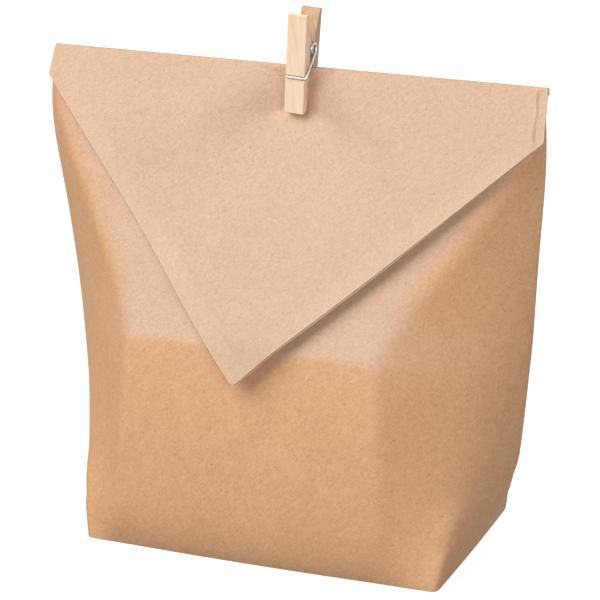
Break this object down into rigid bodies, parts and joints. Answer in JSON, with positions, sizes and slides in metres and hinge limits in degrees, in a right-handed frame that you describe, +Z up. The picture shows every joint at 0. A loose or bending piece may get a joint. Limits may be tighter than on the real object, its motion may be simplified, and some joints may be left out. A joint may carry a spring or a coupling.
{
  "type": "paper lunch bag",
  "caption": "Filled kraft paper bag on a flat rectangular base, its top folded forward as a pointed flap and held shut by a small wooden spring peg over the fold.",
  "frame": {"origin": "centre of the bag's base, on the surface it stands on", "axes": "+Z up, the flap's side of the bag faces -Y, +X to the right seen from the front"},
  "size_m": [0.186, 0.0957, 0.1895],
  "materials": {
    "kraft_paper": "matt, finely fibred",
    "peg_wood": "bare, fine grained",
    "spring_wire": "bright"
  },
  "bodies": {
    "bag": {"paper_bag": "kraft_paper", "peg_back_lever": "peg_wood", "peg_spring": "spring_wire"},
    "front_lever": {"peg_front_lever": "peg_wood"}
  },
  "joints": [
    {"name": "peg_hinge", "type": "hinge", "parent": "bag", "child": "front_lever", "pos_m": [0.00132, -0.0006, 0.17666], "axis": [-0.9982, 0, 0.0593], "range_deg": [0, 40], "stiffness_Nm_per_rad": 0.06, "springref_deg": -51.57, "deforming": ["peg_spring"]}
  ]
}
